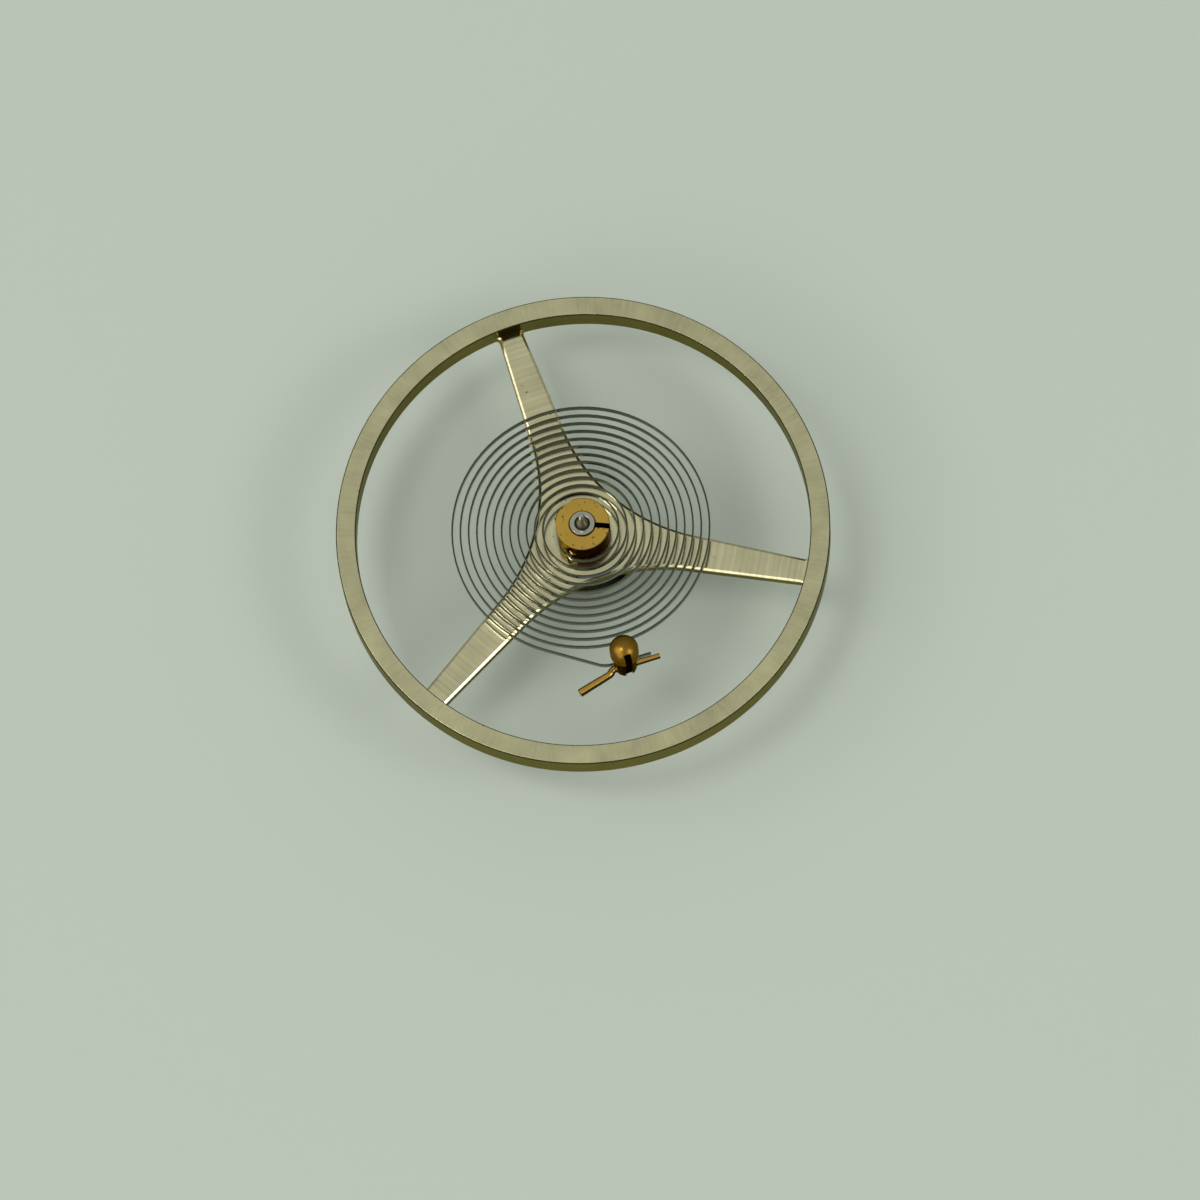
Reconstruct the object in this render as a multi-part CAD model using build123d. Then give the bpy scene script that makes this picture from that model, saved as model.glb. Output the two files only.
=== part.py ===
from build123d import *
import os
from math import acos, atan2, cos, degrees, hypot, radians, sin, sqrt, tan

os.makedirs("parts", exist_ok=True)

# A watch balance: the wheel on its staff, with its roller, collet, hairspring and stud.
# Sizes are in millimetres. The origin is the tip of the lower pivot and +Z runs up the staff.

# The wheel: a plain rim carried by three tapered arms on a thin plate
rim_diameter = 10.0
rim_width = 0.40
rim_height = 0.55
rim_edge_bevel = 0.02
arm_count = 3
arm_direction = 101.9
arm_thickness = 0.20
arm_width_at_rim = 0.50
arm_taper_angle = 2.7
arm_flare_radius = 3.8
arm_root_fillet = 0.08
arm_edge_bevel = 0.025

# The staff: a pivot at each end, with the seats of the roller, wheel and collet between them
pivot_radius = 0.05
pivot_length = 0.16
pivot_tip_bevel = 0.015
lower_cone_length = 0.27
cone_hollow_share = 0.35
roller_seat_radius = 0.225
roller_seat_lead = 0.12
hub_cone_height = 0.25
hub_cone_radius = 0.36
flange_radius = 0.60
flange_thickness = 0.20
flange_bevel = 0.03
wheel_seat_radius = 0.45
rivet_overhang = 0.06
rivet_height = 0.05
collet_seat_radius = 0.25
seat_proud_of_collet = 0.04
seat_end_lip = 0.065
seat_end_dish = 0.05
upper_cone_radius = 0.145
upper_cone_length = 0.37

# The double roller and the impulse jewel that hangs from its table
roller_direction = arm_direction
table_radius = 1.10
table_thickness = 0.25
sleeve_radius = 0.42
sleeve_length = 0.23
safety_roller_radius = 0.58
safety_roller_thickness = 0.22
crescent_radius = 0.22
roller_edge_bevel = 0.025
jewel_radius = 0.17
jewel_flat_depth = 0.09
jewel_edge_margin = 0.08
jewel_overlap_of_safety_roller = 0.06

# The collet: a split brass ring with a hole along a chord for the spring's inner end
collet_height = 0.53
collet_rise = 0.02
collet_slot_width = 0.11
collet_slot_direction = -13.0
collet_bore_bevel = 0.025
collet_edge_bevel = 0.015
collet_flat_depth = 0.025
collet_flat_directions = (121.0, 183.0)
collet_hole_margin = 0.04
collet_hole_inner_wall = 0.045
collet_hole_outer_wall = 0.055
collet_hole_height = 0.20
collet_pin_taper = 0.012
collet_pin_overhang = 0.03

# The hairspring: one flat ribbon that winds out anticlockwise, seen from above
ribbon_thickness = 0.035
ribbon_height = 0.12
spring_turns = 12
first_coil_gap = 0.122
spring_reach_share = 0.2681
spring_start_direction = 246.0
spring_elbow_radius = 0.20
terminal_straight_length = 1.10
terminal_bend_radius = 0.55
terminal_bend_angle = 33.6
ribbon_tail_length = 0.54
ribbon_foot_overhang = 0.08

# The stud: a post that a screw grips in the bridge above, with the spring pinned below it
stud_head_radius = 0.29
stud_head_band = 0.27
stud_dome_rise = 0.14
stud_body_radius = 0.24
stud_foot_taper = 0.01
stud_head_flare = 0.10
stud_body_length = 0.70
stud_body_bevel = 0.02
stud_hole_margin = 0.05
stud_hole_offset = 0.05
stud_groove_width = 0.14
stud_groove_depth = 0.065
stud_groove_angle = 4.0

# The stud's taper pin: its thick end is bent outwards, as pushed and cut by hand
stud_pin_mouth_radius = 0.072
stud_pin_thin_radius = 0.055
stud_pin_bend_radius = 0.075
stud_pin_thick_radius = 0.085
stud_pin_inner_bend = 0.03
stud_pin_thin_reach = 0.70
stud_pin_bend_reach = 0.06
stud_pin_bend_step = 0.06
stud_pin_bend_drop = 0.08
stud_pin_thick_length = 0.73
stud_pin_thick_angle = 15.5

# Fits and shared values
fit_clearance = 0.005
stud_clearance = 0.05
overrun = 0.5
quarter_turn = 90.0
half_turn = 180.0
full_turn = 360.0
quarters_per_turn = 4
samples_per_quarter = 16

# Heights up the staff, from the lower pivot's tip
roller_seat_bottom = pivot_length + lower_cone_length
safety_roller_bottom = roller_seat_bottom + roller_seat_lead
sleeve_bottom = safety_roller_bottom + safety_roller_thickness
table_bottom = sleeve_bottom + sleeve_length
table_top = table_bottom + table_thickness
flange_bottom = table_top + hub_cone_height
wheel_bottom = flange_bottom + flange_thickness
arm_top = wheel_bottom + arm_thickness
rivet_top = arm_top + rivet_height
collet_bottom = rivet_top + collet_rise
collet_top = collet_bottom + collet_height
seat_end = collet_top + seat_proud_of_collet
dish_bottom = seat_end - seat_end_dish
upper_pivot_bottom = dish_bottom + upper_cone_length
staff_top = upper_pivot_bottom + pivot_length
spring_level = collet_bottom + collet_hole_height
stud_bottom = arm_top + stud_clearance
stud_head_bottom = stud_bottom + stud_body_length + stud_head_flare
rim_inner_radius = rim_diameter / 2 - rim_width


def spoke(angle, length=1.0):
    """A vector of a given length, at an angle in degrees about the staff's axis."""
    return Vector(cos(radians(angle)), sin(radians(angle)), 0) * length


def seat_in_hole(hole_radius, height):
    """How far from a hole's axis a flat face of a given height stands when its corners touch."""
    return sqrt(hole_radius**2 - (height / 2) ** 2)


# The collet's hole takes the ribbon and clears the staff's seat, and the collet's wall goes round it
collet_bore = collet_seat_radius + fit_clearance
collet_hole_radius = ribbon_height / 2 + collet_hole_margin
collet_hole_offset = collet_bore + collet_hole_inner_wall + collet_hole_radius
collet_radius = collet_hole_offset + collet_hole_radius + collet_hole_outer_wall

# The jewel stands just inside the table's edge, and the crescent is cut into the safety roller's edge
jewel_orbit = table_radius - jewel_radius - jewel_edge_margin
crescent_orbit = safety_roller_radius + crescent_radius / 2

# Where the ribbon lies in the collet's hole, and the pin that fills the rest of it
collet_ribbon_face = seat_in_hole(collet_hole_radius, ribbon_height) - fit_clearance
collet_ribbon_offset = collet_hole_offset + collet_ribbon_face - ribbon_thickness / 2
collet_pin_span = collet_hole_radius + collet_ribbon_face - ribbon_thickness
collet_pin_radius = collet_pin_span / 2 - fit_clearance
collet_pin_offset = collet_hole_offset - collet_hole_radius + fit_clearance + collet_pin_radius

# Where the ribbon and the pin lie in the stud's hole, as distances outwards from the stud's axis
stud_hole_radius = ribbon_height / 2 + stud_hole_margin
stud_ribbon_face = seat_in_hole(stud_hole_radius, ribbon_height) - fit_clearance
stud_ribbon_offset = stud_hole_offset - stud_ribbon_face + ribbon_thickness / 2
stud_pin_offset = stud_hole_offset + stud_hole_radius - fit_clearance - stud_pin_mouth_radius

# The coils fill the space from just clear of the collet out to a share of the wheel's diameter
spring_inner_radius = collet_radius + first_coil_gap
spring_pitch = (rim_diameter * spring_reach_share - spring_inner_radius) / spring_turns

# The spiral is drawn with quarter turns about four centres, on a square round the staff's axis
centre_step = spring_pitch / quarters_per_turn
first_centre = (spoke(spring_start_direction + quarter_turn) - spoke(spring_start_direction)) * (
    centre_step / 2
)
first_radius = spring_inner_radius + centre_step / 2

# The elbow at the spring's foot leads from the collet's hole, along a chord, to the first coil
elbow_centre = first_centre + spoke(spring_start_direction, first_radius - spring_elbow_radius)
elbow_swing = degrees(acos((collet_ribbon_offset - spring_elbow_radius) / elbow_centre.length))
foot_direction = degrees(atan2(elbow_centre.Y, elbow_centre.X)) - elbow_swing
foot_heading = foot_direction + quarter_turn
elbow_start = elbow_centre + spoke(foot_direction, spring_elbow_radius)
foot_reach = sqrt(collet_radius**2 - collet_ribbon_offset**2) + ribbon_foot_overhang

# The terminal curve leaves the last coil straight, then bends back to run through the stud
spring_end_direction = spring_start_direction + full_turn * spring_turns
last_radius = first_radius + spring_pitch * spring_turns
terminal_start = first_centre + spoke(spring_end_direction, last_radius)
terminal_heading = spring_end_direction + quarter_turn
bend_start = terminal_start + spoke(terminal_heading, terminal_straight_length)
bend_centre = bend_start + spoke(terminal_heading + quarter_turn, terminal_bend_radius)
stud_heading = terminal_heading + terminal_bend_angle
stud_outward = spoke(stud_heading - quarter_turn)
bend_end = bend_centre + stud_outward * terminal_bend_radius
stud_orbit = bend_end.dot(stud_outward) - stud_ribbon_offset
stud_axis = stud_outward * stud_orbit
stud_plane = Plane(origin=stud_axis + Vector(0, 0, spring_level), x_dir=spoke(stud_heading), z_dir=(0, 0, 1))


def ring_profile(inner, outer, bottom, top, bevel):
    """The section of a ring with bevelled corners, in the plane through the axis."""
    middle = Pos((inner + outer) / 2, (bottom + top) / 2)
    section = Plane.XZ * middle * Rectangle(outer - inner, top - bottom)
    return chamfer(section.vertices(), bevel)


def arm_gap():
    """The window between two arms, about +X: straight sides, a round floor and the rim's circle."""
    half_pitch = half_turn / arm_count
    slope = tan(radians(arm_taper_angle))
    axis_direction = spoke(half_pitch)
    side_direction = spoke(half_pitch - quarter_turn)
    width_at_axis = arm_width_at_rim / 2 + rim_inner_radius * slope
    corner = width_at_axis / (sin(radians(half_pitch)) + cos(radians(half_pitch)) * slope)
    reach = rim_diameter / 2
    far = axis_direction * reach + side_direction * (width_at_axis - reach * slope)
    lower_side = [(corner, 0), (far.X, -far.Y), (reach, -far.Y)]
    upper_side = [(reach, far.Y), (far.X, far.Y)]
    window = make_face(Polyline(*lower_side, *upper_side, close=True))
    window = fillet(window.vertices().sort_by(Axis.X)[0], arm_flare_radius)
    window = window & Circle(rim_inner_radius)
    return fillet(window.vertices().sort_by(Axis.X)[-2:], arm_root_fillet)


def balance_wheel():
    """The rim, its three arms and the hub plate, cut from one blank and bored for the staff."""
    plate = Circle(rim_inner_radius + rim_width / 2)
    gap_pitch = full_turn / arm_count
    for number in range(arm_count):
        plate -= Rot(0, 0, arm_direction + gap_pitch / 2 + gap_pitch * number) * arm_gap()
    plate = extrude(plate, arm_thickness)
    top_edges = plate.edges().group_by(Axis.Z)[-1].sort_by(SortBy.LENGTH)
    plate = chamfer(top_edges[:-1], arm_edge_bevel)
    plate -= Cylinder(wheel_seat_radius + fit_clearance, overrun * 2)
    rim = revolve(ring_profile(rim_inner_radius, rim_diameter / 2, 0, rim_height, rim_edge_bevel), Axis.Z)
    return Pos(0, 0, wheel_bottom) * (rim + plate)


def hollow_cone(wide, narrow):
    """A staff's cone in outline, hollowed like a trumpet, between two points given as radius and height."""
    waist = narrow[0] + (wide[0] - narrow[0]) * cone_hollow_share
    return ThreePointArc(wide, (waist, (wide[1] + narrow[1]) / 2), narrow)


def staff_outline():
    """Half of the staff's outline, from the lower pivot's tip to the upper pivot's tip."""
    lower_pivot = Polyline(
        (0, 0),
        (pivot_radius - pivot_tip_bevel, 0),
        (pivot_radius, pivot_tip_bevel),
        (pivot_radius, pivot_length),
    )
    lower_cone = hollow_cone((roller_seat_radius, roller_seat_bottom), (pivot_radius, pivot_length))
    seats = Polyline(
        (roller_seat_radius, roller_seat_bottom),
        (roller_seat_radius, table_top),
        (hub_cone_radius, table_top),
        (flange_radius - flange_bevel, flange_bottom),
        (flange_radius, flange_bottom + flange_bevel),
        (flange_radius, wheel_bottom),
        (wheel_seat_radius, wheel_bottom),
        (wheel_seat_radius, arm_top),
        (wheel_seat_radius + rivet_overhang, arm_top),
        (wheel_seat_radius, rivet_top),
        (collet_seat_radius, rivet_top),
        (collet_seat_radius, seat_end),
        (collet_seat_radius - seat_end_lip, seat_end),
        (upper_cone_radius, dish_bottom),
    )
    upper_cone = hollow_cone((upper_cone_radius, dish_bottom), (pivot_radius, upper_pivot_bottom))
    upper_pivot = Polyline(
        (pivot_radius, upper_pivot_bottom),
        (pivot_radius, staff_top - pivot_tip_bevel),
        (pivot_radius - pivot_tip_bevel, staff_top),
        (0, staff_top),
        (0, 0),
    )
    return Curve() + [lower_pivot, lower_cone, seats, upper_cone, upper_pivot]


def balance_staff():
    """The staff, turned from one steel rod."""
    return revolve(Plane.XZ * make_face(staff_outline()), Axis.Z)


def jewel_section(clearance):
    """The impulse jewel's D-shaped section about its own axis, its flat facing outwards."""
    round_part = Circle(jewel_radius + clearance)
    flat_face = jewel_radius - jewel_flat_depth + clearance
    return round_part - Pos(flat_face + jewel_radius, 0) * Rectangle(jewel_radius * 2, jewel_radius * 4)


def double_roller():
    """The roller: a table for the jewel and a smaller safety roller with its crescent below."""
    bore = roller_seat_radius + fit_clearance
    table = ring_profile(bore, table_radius, table_bottom, table_top, roller_edge_bevel)
    safety = ring_profile(bore, safety_roller_radius, safety_roller_bottom, sleeve_bottom, roller_edge_bevel)
    sleeve = Plane.XZ * Pos((bore + sleeve_radius) / 2, (sleeve_bottom + table_bottom) / 2) * Rectangle(
        sleeve_radius - bore, sleeve_length
    )
    roller = revolve(table, Axis.Z) + revolve(safety, Axis.Z) + revolve(sleeve, Axis.Z)
    jewel_hole = extrude(jewel_section(fit_clearance), table_thickness + overrun * 2)
    roller -= Pos(jewel_orbit, 0, table_bottom - overrun) * jewel_hole
    crescent = extrude(Circle(crescent_radius), safety_roller_thickness + sleeve_length + overrun)
    roller -= Pos(crescent_orbit, 0, safety_roller_bottom - overrun) * crescent
    return Rot(0, 0, roller_direction) * roller


def impulse_jewel():
    """The ruby pin that the fork drives, set in the table and reaching past the safety roller's top."""
    bottom = sleeve_bottom - jewel_overlap_of_safety_roller
    pin = extrude(jewel_section(0), table_top - bottom)
    return Rot(0, 0, roller_direction) * Pos(jewel_orbit, 0, bottom) * pin


def collet():
    """The collet: bored for the staff, split on one side and cross-drilled along a chord."""
    ring = revolve(ring_profile(collet_bore, collet_radius, 0, collet_height, collet_edge_bevel), Axis.Z)
    wide = collet_bore + collet_bore_bevel * 2
    bore_bevel = Pos(0, 0, collet_height - collet_bore_bevel) * Cone(
        collet_bore, wide, collet_bore_bevel * 2, align=(Align.CENTER, Align.CENTER, Align.MIN)
    )
    slot_middle = (collet_radius + collet_bore) / 2
    slot = Rot(0, 0, collet_slot_direction) * Pos(slot_middle, 0, collet_height / 2) * Box(
        collet_radius, collet_slot_width, collet_height * 2
    )
    ring = ring - bore_bevel - slot
    flat_cutter = Box(collet_radius * 2, collet_radius * 2, collet_height * 2)
    flat_place = Pos(collet_radius * 2 - collet_flat_depth, 0, collet_height / 2)
    for direction in collet_flat_directions:
        ring -= Rot(0, 0, direction) * flat_place * flat_cutter
    hole = Rot(0, 0, foot_direction) * Pos(collet_hole_offset, 0, collet_hole_height) * Rot(
        quarter_turn, 0, 0
    ) * Cylinder(collet_hole_radius, collet_radius * 2 + overrun)
    return Pos(0, 0, collet_bottom) * (ring - hole)


def tapered_rod(points, radii, bend_radius):
    """A round rod through some points, with its own radius at each and a smooth bend between runs."""
    route = FilletPolyline(*points, radius=bend_radius) if len(points) > 2 else Line(*points)
    rod = Part()
    for number, edge in enumerate(route.edges()):
        ends = [Plane(origin=edge @ share, z_dir=edge % share) for share in (0, 1)]
        first = (number + 1) // 2
        if number % 2:
            rod += sweep(ends[0] * Circle(radii[first]), path=edge)
        else:
            rod += loft([ends[0] * Circle(radii[first]), ends[1] * Circle(radii[first + 1])])
    return rod


def collet_pin():
    """The small taper pin that wedges the spring's foot in the collet."""
    half_length = sqrt(collet_radius**2 - collet_pin_offset**2) + collet_pin_overhang
    middle = spoke(foot_direction, collet_pin_offset) + Vector(0, 0, spring_level)
    reach = spoke(foot_heading, half_length)
    radii = [collet_pin_radius, collet_pin_radius - collet_pin_taper]
    return tapered_rod([middle - reach, middle + reach], radii, 0)


def spiral_arcs():
    """The coils as tangent quarter turns: the centre steps round a small square, the radius grows."""
    centre = first_centre
    radius = first_radius
    arcs = []
    for number in range(quarters_per_turn * spring_turns):
        start = spring_start_direction + number * quarter_turn
        arcs.append((centre, radius, start, quarter_turn))
        centre = centre - spoke(start + quarter_turn, centre_step)
        radius = radius + centre_step
    return arcs


def ribbon_path():
    """The ribbon's middle line, from inside the collet to the free tail beyond the stud."""
    foot_end = spoke(foot_direction, collet_ribbon_offset) - spoke(foot_heading, foot_reach)
    elbow_turn = (spring_start_direction - foot_direction) % full_turn
    bend_from = terminal_heading - quarter_turn
    tail_end = stud_axis + stud_outward * stud_ribbon_offset + spoke(stud_heading, ribbon_tail_length)
    arcs = [(elbow_centre, spring_elbow_radius, foot_direction, elbow_turn)] + spiral_arcs()
    edges = [Line(foot_end, elbow_start)]
    edges += [CenterArc(centre, radius, start, turn) for centre, radius, start, turn in arcs]
    edges.append(Line(terminal_start, bend_start))
    edges.append(CenterArc(bend_centre, terminal_bend_radius, bend_from, terminal_bend_angle))
    edges.append(Line(bend_end, tail_end))
    return Wire([edge.edge() for edge in edges])


def least_gap(path):
    """The least clear distance between one coil and the next, measured on points of the path."""
    count = samples_per_quarter * quarters_per_turn * (spring_turns + 1)
    places = [path.position_at(number / count) for number in range(count + 1)]
    apart = path.length / count
    least = rim_diameter
    for first, place in enumerate(places):
        for second in range(first + 1, len(places)):
            along = (second - first) * apart
            if along > spring_inner_radius * 2:
                least = min(least, hypot(places[second].X - place.X, places[second].Y - place.Y))
    return least - ribbon_thickness


def hairspring():
    """The flat spiral ribbon in one piece, with its elbow, coils and terminal curve."""
    path = ribbon_path()
    print(f"hairspring: least gap between coils {least_gap(path):.3f} mm, length {path.length:.1f} mm")
    start = Plane(origin=path @ 0, x_dir=(0, 0, 1), z_dir=path % 0)
    ribbon = sweep(start * Rectangle(ribbon_height, ribbon_thickness), path=path)
    return Pos(0, 0, spring_level) * ribbon


def stud():
    """The stud: a domed head that tapers to a slimmer body, with a groove and the spring's cross hole."""
    middle = stud_head_bottom + stud_head_band
    foot_radius = stud_body_radius - stud_foot_taper
    outline = Polyline(
        (0, stud_bottom),
        (foot_radius - stud_body_bevel, stud_bottom),
        (foot_radius, stud_bottom + stud_body_bevel),
        (stud_body_radius, stud_head_bottom - stud_head_flare),
        (stud_head_radius, stud_head_bottom),
        (stud_head_radius, middle),
    )
    dome_radius = (stud_head_radius**2 + stud_dome_rise**2) / (stud_dome_rise * 2)
    dome = RadiusArc((stud_head_radius, middle), (0, middle + stud_dome_rise), -dome_radius)
    axis_line = Line((0, middle + stud_dome_rise), (0, stud_bottom))
    post = revolve(Plane.XZ * make_face(Curve() + [outline, dome, axis_line]), Axis.Z)
    post = Pos(0, 0, -spring_level) * post
    hole = Pos(0, -stud_hole_offset, 0) * Rot(0, quarter_turn, 0) * Cylinder(stud_hole_radius, overrun * 2)
    groove_height = middle + stud_dome_rise - stud_bottom + overrun
    groove_middle = stud_groove_depth - stud_body_radius - overrun / 2
    groove = Pos(0, groove_middle, 0) * Box(stud_groove_width, overrun, groove_height * 2)
    return stud_plane * (post - hole - Rot(0, 0, stud_groove_angle) * groove)


def stud_pin():
    """The taper pin that wedges the spring in the stud, with its thick end bent outwards."""
    mouth = Vector(-stud_body_radius - stud_pin_bend_reach, -stud_pin_offset, 0)
    bend = mouth - Vector(stud_pin_bend_step, stud_pin_bend_drop, 0)
    thick_end = bend + spoke(half_turn + stud_pin_thick_angle, stud_pin_thick_length)
    thin_end = Vector(stud_pin_thin_reach, -stud_pin_offset, 0)
    points = [thin_end, mouth, bend, thick_end]
    radii = [stud_pin_thin_radius, stud_pin_mouth_radius, stud_pin_bend_radius, stud_pin_thick_radius]
    return stud_plane * tapered_rod(points, radii, stud_pin_bend_radius + stud_pin_inner_bend)


pieces = {
    "balance_wheel": balance_wheel,
    "balance_staff": balance_staff,
    "double_roller": double_roller,
    "impulse_jewel": impulse_jewel,
    "collet": collet,
    "collet_pin": collet_pin,
    "hairspring": hairspring,
    "stud": stud,
    "stud_pin": stud_pin,
}

for node, make in pieces.items():
    export_step(make(), f"parts/{node}.step")
print(f"stud axis {stud_orbit:.3f} mm out, {stud_heading % full_turn - quarter_turn:.1f} degrees")
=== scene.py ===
"""The looks of a watch balance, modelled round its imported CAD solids.

Each piece is modelled again at a finer grain, in millimetres, and set into the frame in
metres. The sizes repeat those of the solids that the pieces stand for.
"""

import logging
from collections.abc import Callable, Sequence
from dataclasses import dataclass, replace
from enum import Enum
from math import acos, asin, atan2, cos, degrees, hypot, radians, sin, sqrt, tan
from typing import Any

import bmesh
import bpy
from mathutils import Matrix, Vector
from mathutils.kdtree import KDTree


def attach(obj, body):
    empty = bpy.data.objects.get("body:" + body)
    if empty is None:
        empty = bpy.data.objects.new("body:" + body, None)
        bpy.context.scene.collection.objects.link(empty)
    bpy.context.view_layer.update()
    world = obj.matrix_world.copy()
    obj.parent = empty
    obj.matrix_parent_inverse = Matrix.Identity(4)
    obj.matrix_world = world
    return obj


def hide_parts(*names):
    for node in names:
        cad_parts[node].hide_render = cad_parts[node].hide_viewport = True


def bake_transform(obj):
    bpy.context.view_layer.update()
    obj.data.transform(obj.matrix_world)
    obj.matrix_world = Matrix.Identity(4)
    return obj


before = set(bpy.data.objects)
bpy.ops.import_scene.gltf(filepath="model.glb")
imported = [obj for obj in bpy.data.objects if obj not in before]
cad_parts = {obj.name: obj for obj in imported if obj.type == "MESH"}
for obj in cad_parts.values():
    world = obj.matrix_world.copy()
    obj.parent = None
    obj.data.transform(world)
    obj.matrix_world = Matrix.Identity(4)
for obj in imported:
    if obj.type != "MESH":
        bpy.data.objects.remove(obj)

LOG = logging.getLogger("balance")
MM = 0.001
FULL_TURN = 360.0
HALF_TURN = 180.0
QUARTER_TURN = 90.0
SAME_PLACE = 1e-5  # in millimetres, nearer than which two points are one
MIRROR_GAP = 1e-4  # in millimetres, nearer than which the two halves of a mirrored tool are joined
THROUGH = 3  # a tool's length as a multiple of what it cuts, so that it passes right through
SMOOTH_ANGLE = 32.0  # in degrees, over which the edge between two faces stays sharp
SIZE_WEIGHT = 100  # the most that a face's size can count for in the normals that it shares
LEVEL = 0.9  # the upright share of a normal, over which its face counts as level
STEEP = 0.5  # the same share, under which its face counts as a wall
BEND_STEPS = 6  # how many steps a rod's bend is drawn in
HOLE_SIDES = 48
PIN_SIDES = 40

Corner = tuple[float, float]  # radius and height, in millimetres
Rounding = tuple[float, int, float]  # width in millimetres, facets, least angle in degrees
Move = tuple[float, float]  # a bend's radius and its turn in degrees, or zero and a straight's length
Socket = bpy.types.NodeSocket
Piece = bpy.types.Object
Face = bpy.types.MeshPolygon


class Cut(Enum):
    """What a tool does to the piece that it meets."""

    REMOVE = "DIFFERENCE"
    JOIN = "UNION"


class Part(Enum):
    """What of a mesh is chosen for the next step."""

    POINT = "VERT"
    EDGE = "EDGE"
    FACE = "FACE"


class Grain(Enum):
    """Which way the marks of a metal's last working run."""

    LAPPED = "straight marks across the whole piece"
    CROSSED = "short marks that point at the piece's axis"
    TURNED = "rings round the piece's own axis"
    DRAWN = "lines along the piece"
    POLISHED = "no marks but a slow unevenness"


class Body(Enum):
    """The CAD bodies that the pieces move with."""

    BALANCE = "balance"
    STUD = "stud"


def spoke(angle: float, length: float = 1.0) -> Vector:
    """Gives a level vector of some length, at an angle in degrees about the staff's axis."""
    return Vector((cos(radians(angle)), sin(radians(angle)), 0)) * length


def linear(colour: str) -> tuple[float, float, float, float]:
    """Turns an sRGB hex colour into the linear values that a shader takes.

    Args:
        colour: Six hex digits.

    Returns:
        Red, green, blue and alpha.
    """
    shares = [int(colour[place : place + 2], 16) / 255 for place in (0, 2, 4)]
    red, green, blue = [s / 12.92 if s <= 0.04045 else ((s + 0.055) / 1.055) ** 2.4 for s in shares]
    return red, green, blue, 1.0


def add_node(
    tree: bpy.types.NodeTree, kind: str, feeds: dict[Any, Any] | None = None, **settings: Any
) -> Any:
    """Adds one node to a material.

    Args:
        tree: The material's node tree.
        kind: The node's type, without its common start.
        feeds: For each input, by name or number, its value or the socket that feeds it.
        settings: The node's own settings.

    Returns:
        The node.
    """
    node = tree.nodes.new("ShaderNode" + kind)
    for name, value in settings.items():
        setattr(node, name, value)
    for name, value in (feeds or {}).items():
        if isinstance(value, Socket):
            tree.links.new(value, node.inputs[name])
        else:
            node.inputs[name].default_value = value
    return node


def blank(name: str) -> bpy.types.Material:
    """Makes a material with no nodes."""
    made = bpy.data.materials.new(name)
    made.use_nodes = True
    made.node_tree.nodes.clear()
    return made


def primitive(
    add: Callable[..., Any],
    name: str,
    stretch: Sequence[float] = (1, 1, 1),
    turn: Sequence[float] = (0, 0, 0),
    **settings: Any,
) -> Piece:
    """Adds a primitive with all else deselected, and opens it about the frame's origin.

    Args:
        add: The operator that adds it.
        name: The piece's name.
        stretch: How much it is stretched along its own axes first.
        turn: How it is turned about X, Y and Z, in degrees.
        settings: The operator's settings, in millimetres.

    Returns:
        The piece, in edit mode with all of it selected.
    """
    bpy.ops.object.select_all(action="DESELECT")
    add(rotation=[radians(angle) for angle in turn], **settings)
    piece = bpy.context.object
    piece.name = piece.data.name = name
    piece.scale = stretch
    bpy.ops.object.transform_apply(location=True, rotation=True, scale=True)
    bpy.ops.object.mode_set(mode="EDIT")
    bpy.ops.mesh.select_mode(type="VERT")
    bpy.ops.mesh.select_all(action="SELECT")
    return piece


def closed() -> None:
    """Merges what meets, turns every face outwards and ends editing."""
    bpy.ops.mesh.select_mode(type="VERT")
    bpy.ops.mesh.select_all(action="SELECT")
    bpy.ops.mesh.remove_doubles(threshold=SAME_PLACE)
    bpy.ops.mesh.normals_make_consistent(inside=False)
    bpy.ops.object.mode_set(mode="OBJECT")


def active(piece: Piece) -> None:
    """Makes a piece the only selected one, and the one that operators act on."""
    bpy.ops.object.select_all(action="DESELECT")
    piece.select_set(True)
    bpy.context.view_layer.objects.active = piece


def choose(piece: Piece, part: Part, test: Callable[[Any], bool]) -> None:
    """Selects the points, edges or faces that pass a test, in edit mode."""
    bpy.ops.mesh.select_mode(type=part.value)
    mesh = bmesh.from_edit_mesh(piece.data)
    for item in {Part.POINT: mesh.verts, Part.EDGE: mesh.edges, Part.FACE: mesh.faces}[part]:
        item.select = test(item)
    mesh.select_flush_mode()
    bmesh.update_edit_mesh(piece.data)


def draw_out(step: Sequence[float]) -> None:
    """Extrudes the selection by a step, in millimetres."""
    bpy.ops.mesh.extrude_region_move(TRANSFORM_OT_translate={"value": step})


def swing(centre: Sequence[float], turn: float, steps: int) -> None:
    """Extrudes the selection round an upright axis.

    Args:
        centre: A point on the axis.
        turn: How far it goes, in degrees, anticlockwise seen from above. The operator itself
            counts the other way.
        steps: In how many steps.
    """
    bpy.ops.mesh.spin(steps=steps, angle=-radians(turn), center=centre, axis=(0, 0, 1))


def moved(place: Vector, heading: float, move: Move) -> tuple[Vector, float]:
    """Gives the place and the heading, in degrees, after a move from another."""
    bend, amount = move
    if not bend:
        return place + spoke(heading, amount), heading
    centre = place + spoke(heading + QUARTER_TURN, bend)
    return centre - spoke(heading + amount + QUARTER_TURN, bend), heading + amount


def draw_along(place: Vector, heading: float, move: Move, steps: int) -> tuple[Vector, float]:
    """Extrudes the selection along a move.

    Args:
        place: Where it starts.
        heading: Its heading there, in degrees.
        move: The move.
        steps: How many steps a bend is drawn in.

    Returns:
        The place and the heading at its end.
    """
    bend, amount = move
    if bend:
        swing(place + spoke(heading + QUARTER_TURN, bend), amount, steps)
    else:
        draw_out(spoke(heading, amount))
    return moved(place, heading, move)


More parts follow.
